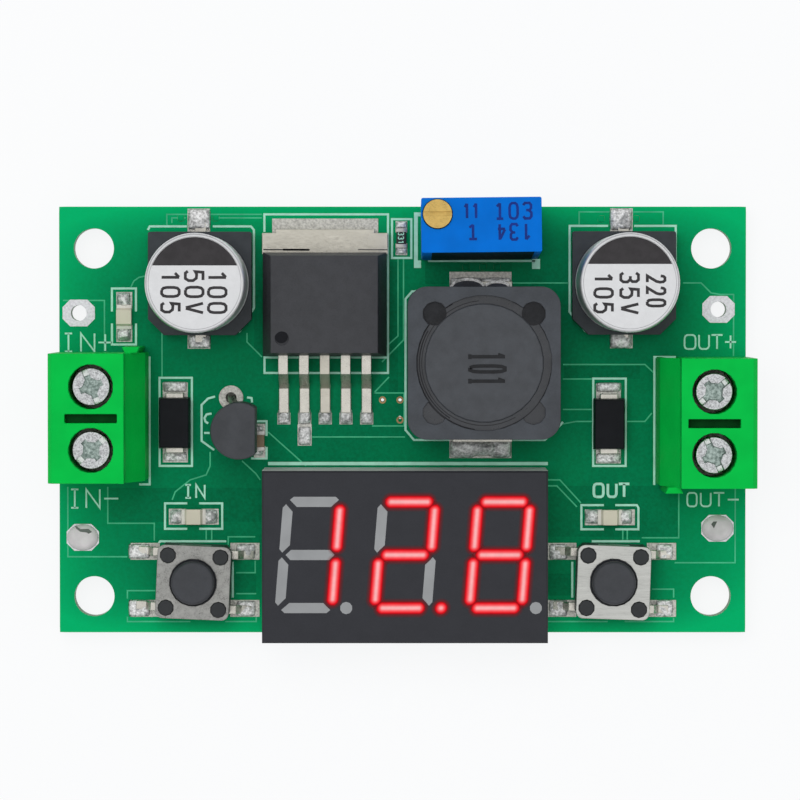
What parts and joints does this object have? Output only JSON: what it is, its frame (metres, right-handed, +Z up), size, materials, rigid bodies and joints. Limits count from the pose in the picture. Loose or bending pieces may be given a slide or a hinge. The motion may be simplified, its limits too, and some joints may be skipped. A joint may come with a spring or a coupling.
{
  "type": "buck converter module",
  "caption": "Step-down voltage converter board with screw terminals, an adjusting trimmer, a digital voltmeter and two push buttons.",
  "frame": {"origin": "centre of the four mounting holes, on the board's underside", "axes": "+X from the input terminal to the output terminal, +Y from the display to the trimmer, +Z up from the component side"},
  "size_m": [0.0566, 0.0359, 0.0135],
  "materials": {
    "board_laminate": "green solder mask over glass-epoxy laminate",
    "solder": "tinned copper and solder",
    "terminal_green": "moulded polyamide",
    "tinned_steel": "tin plated",
    "tinned_brass": "tin plated brass",
    "screw_steel": "zinc plated",
    "can_aluminium": "brushed, clear film",
    "black_plastic": "moulded",
    "ferrite": "sintered ferrite",
    "copper_wire": "enamelled copper wire",
    "adhesive": "set epoxy",
    "package_epoxy": "moulded epoxy",
    "led_resin": "clear resin",
    "chip_ceramic": "ceramic with tinned ends",
    "capacitor_ceramic": "ceramic with tinned ends",
    "display_plastic": "white body, dark grey face",
    "segment_lit": "diffusing resin, red light",
    "segment_dark": "diffusing resin",
    "switch_steel": "plated sheet",
    "button_plastic": "moulded",
    "trimmer_blue": "moulded",
    "brass": "turned"
  },
  "bodies": {
    "module": {"board": "board_laminate", "display_board": "black_plastic", "display_housing": "display_plastic", "display_pins": "tinned_steel", "display_segments_dark": "segment_dark", "display_segments_lit": "segment_lit", "feedback_capacitor": "capacitor_ceramic", "feedback_resistor": "chip_ceramic", "inductor_adhesive": "adhesive", "inductor_core": "ferrite", "inductor_shield": "ferrite", "inductor_terminals": "tinned_steel", "inductor_winding": "copper_wire", "input_capacitor_base": "black_plastic", "input_capacitor_can": "can_aluminium", "input_capacitor_leads": "tinned_steel", "input_diode_body": "package_epoxy", "input_diode_leads": "tinned_steel", "input_led": "led_resin", "input_terminal_contacts": "tinned_brass", "input_terminal_housing": "terminal_green", "left_switch_base": "black_plastic", "left_switch_cover": "switch_steel", "left_switch_dome": "tinned_steel", "left_switch_terminals": "tinned_steel", "meter_controller": "package_epoxy", "meter_regulator_body": "package_epoxy", "meter_regulator_leads": "tinned_steel", "meter_resistors": "chip_ceramic", "output_capacitor_base": "black_plastic", "output_capacitor_can": "can_aluminium", "output_capacitor_leads": "tinned_steel", "output_diode_body": "package_epoxy", "output_diode_leads": "tinned_steel", "output_led": "led_resin", "output_terminal_contacts": "tinned_brass", "output_terminal_housing": "terminal_green", "power_led": "led_resin", "regulator_body": "package_epoxy", "regulator_leads": "tinned_steel", "regulator_tab": "tinned_steel", "right_switch_base": "black_plastic", "right_switch_cover": "switch_steel", "right_switch_dome": "tinned_steel", "right_switch_terminals": "tinned_steel", "solder": "solder", "trimmer_housing": "trimmer_blue", "trimmer_pins": "tinned_steel"},
    "left_button": {"left_switch_button": "button_plastic"},
    "right_button": {"right_switch_button": "button_plastic"},
    "trimmer_screw": {"trimmer_screw": "brass"},
    "trimmer_wiper": {"trimmer_wiper": "black_plastic"},
    "input_upper_clamp": {"input_upper_clamp": "tinned_steel"},
    "input_upper_screw": {"input_upper_screw": "screw_steel"},
    "input_lower_clamp": {"input_lower_clamp": "tinned_steel"},
    "input_lower_screw": {"input_lower_screw": "screw_steel"},
    "output_upper_clamp": {"output_upper_clamp": "tinned_steel"},
    "output_upper_screw": {"output_upper_screw": "screw_steel"},
    "output_lower_clamp": {"output_lower_clamp": "tinned_steel"},
    "output_lower_screw": {"output_lower_screw": "screw_steel"}
  },
  "joints": [
    {"name": "input_upper_clamp_slide", "type": "slide", "parent": "module", "child": "input_upper_clamp", "axis": [0, 0, -1], "range_m": [0, 0.0024]},
    {"name": "input_upper_screw_turn", "type": "hinge", "parent": "input_upper_clamp", "child": "input_upper_screw", "pos_m": [-0.0249, 0.00314, 0.008], "axis": [0, 0, -1], "range_deg": [0, 1920]},
    {"name": "input_lower_clamp_slide", "type": "slide", "parent": "module", "child": "input_lower_clamp", "axis": [0, 0, -1], "range_m": [0, 0.0024]},
    {"name": "input_lower_screw_turn", "type": "hinge", "parent": "input_lower_clamp", "child": "input_lower_screw", "pos_m": [-0.0249, -0.00194, 0.008], "axis": [0, 0, -1], "range_deg": [0, 1920]},
    {"name": "output_upper_clamp_slide", "type": "slide", "parent": "module", "child": "output_upper_clamp", "axis": [0, 0, -1], "range_m": [0, 0.0024]},
    {"name": "output_upper_screw_turn", "type": "hinge", "parent": "output_upper_clamp", "child": "output_upper_screw", "pos_m": [0.0249, 0.00274, 0.008], "axis": [0, 0, -1], "range_deg": [0, 1920]},
    {"name": "output_lower_clamp_slide", "type": "slide", "parent": "module", "child": "output_lower_clamp", "axis": [0, 0, -1], "range_m": [0, 0.0024]},
    {"name": "output_lower_screw_turn", "type": "hinge", "parent": "output_lower_clamp", "child": "output_lower_screw", "pos_m": [0.0249, -0.00234, 0.008], "axis": [0, 0, -1], "range_deg": [0, 1920]},
    {"name": "left_button_press", "type": "slide", "parent": "module", "child": "left_button", "axis": [0, 0, -1], "range_m": [0, 0.00025], "stiffness_N_per_m": 6400, "deforming": ["left_switch_dome"]},
    {"name": "right_button_press", "type": "slide", "parent": "module", "child": "right_button", "axis": [0, 0, -1], "range_m": [0, 0.00025], "stiffness_N_per_m": 6400, "deforming": ["right_switch_dome"]},
    {"name": "trimmer_screw_turn", "type": "hinge", "parent": "module", "child": "trimmer_screw", "pos_m": [0.00279, 0.0164, 0.00167], "axis": [-0.0005, 0.0523, 0.9986], "range_deg": [-4500, 4500]},
    {"name": "trimmer_wiper_turn", "type": "hinge", "parent": "module", "child": "trimmer_wiper", "pos_m": [0.00682, 0.0167, 0.00666], "axis": [-0.0105, 0.9986, -0.0523], "range_deg": [-151, 151]}
  ],
  "couplings": [
    {"joint": "input_upper_screw_turn", "follows": "input_upper_clamp_slide", "rad_per_m": 13963},
    {"joint": "input_lower_screw_turn", "follows": "input_lower_clamp_slide", "rad_per_m": 13963},
    {"joint": "output_upper_screw_turn", "follows": "output_upper_clamp_slide", "rad_per_m": 13963},
    {"joint": "output_lower_screw_turn", "follows": "output_lower_clamp_slide", "rad_per_m": 13963},
    {"joint": "trimmer_wiper_turn", "follows": "trimmer_screw_turn", "ratio": 0.033333}
  ]
}
